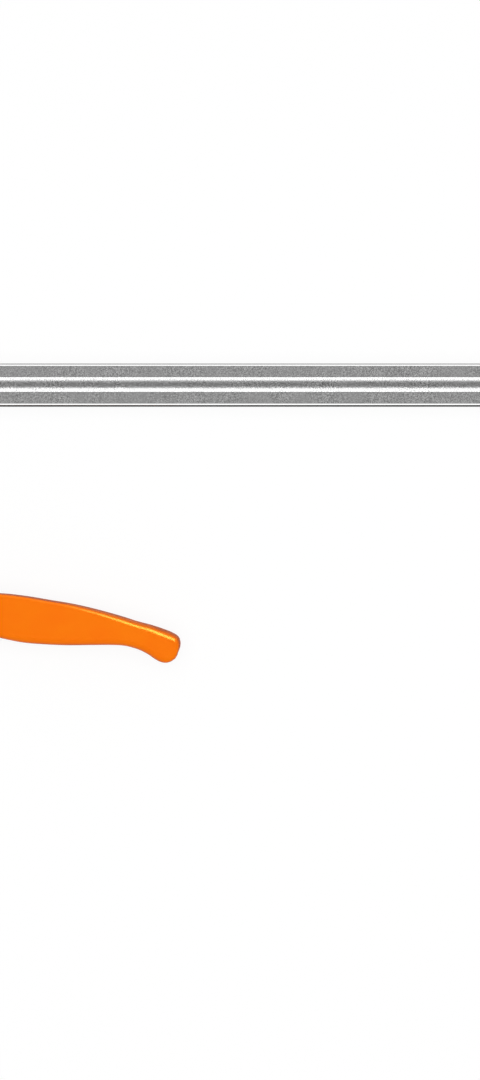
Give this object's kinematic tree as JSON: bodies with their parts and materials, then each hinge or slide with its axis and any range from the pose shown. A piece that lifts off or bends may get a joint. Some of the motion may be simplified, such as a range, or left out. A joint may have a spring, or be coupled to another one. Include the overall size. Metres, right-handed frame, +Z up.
{
  "type": "ratchet lever bar clamp",
  "caption": "Bar clamp with a grooved steel rail, a fixed arm, and a sliding arm whose ratchet hand lever drives a swivelling jaw plate.",
  "frame": {"origin": "centre of the fixed jaw's face", "axes": "+X is the opening direction, out of the fixed jaw's face and along the rail; +Y runs from the jaws to the rail; +Z points up from the bench on which the clamp lies on its side"},
  "size_m": [0.5455, 0.1745, 0.031],
  "materials": {
    "rail_steel": "bright drawn steel with fine grain",
    "machined_steel": "zinc plated steel",
    "casting": "black powder coat on cast iron",
    "grip": "glossy orange",
    "pad_cap": "matt dark plastic",
    "spring_steel": "dark spring steel",
    "bronze": "sintered bronze"
  },
  "bodies": {
    "rail_body": {"rail": "rail_steel", "rail_stop_pin": "machined_steel", "fixed_arm": "casting", "fixed_arm_rivet_front": "machined_steel", "fixed_arm_rivet_rear": "machined_steel", "fixed_pad_cap": "pad_cap"},
    "arm_body": {"sliding_arm": "casting", "arm_brake_spring": "spring_steel", "friction_pin_front": "machined_steel", "friction_pin_rear": "machined_steel", "guide_bush": "bronze", "return_spring": "spring_steel", "lever_pivot_pin": "machined_steel", "pivot_circlip": "spring_steel", "pawl_pin": "machined_steel", "pawl_spring": "spring_steel"},
    "lever_body": {"lever_core": "machined_steel", "lever_bush": "bronze", "lever_grip": "grip", "grip_rivet_inner": "machined_steel", "grip_rivet_outer": "machined_steel"},
    "plunger_body": {"plunger": "rail_steel"},
    "plate_body": {"pressure_plate": "machined_steel", "plate_snap_ring": "spring_steel", "moving_pad_cap": "pad_cap"},
    "pawl_body": {"pawl": "machined_steel"}
  },
  "joints": [
    {"name": "arm_slide", "type": "slide", "parent": "rail_body", "child": "arm_body", "axis": [1, 0, 0], "range_m": [-0.094, 0.3]},
    {"name": "lever_swing", "type": "hinge", "parent": "arm_body", "child": "lever_body", "pos_m": [0.18355, -0.0075, 0], "axis": [0, 0, 1], "range_deg": [-60, 8]},
    {"name": "plunger_slide", "type": "slide", "parent": "arm_body", "child": "plunger_body", "axis": [-1, 0, 0], "range_m": [-0.00786, 0.00105], "deforming": ["return_spring"]},
    {"name": "pad_tilt", "type": "hinge", "parent": "plunger_body", "child": "plate_body", "pos_m": [0.109, 0, 0], "axis": [0, 0, 1], "range_deg": [-12, 12]},
    {"name": "pawl_release", "type": "hinge", "parent": "arm_body", "child": "pawl_body", "pos_m": [0.19755, 0.0365, 0], "axis": [0, 0, -1], "range_deg": [0, 15], "stiffness_Nm_per_rad": 0.05, "springref_deg": -17.19}
  ],
  "couplings": [
    {"joint": "plunger_slide", "follows": "lever_swing", "m_per_rad": 0.0075}
  ]
}
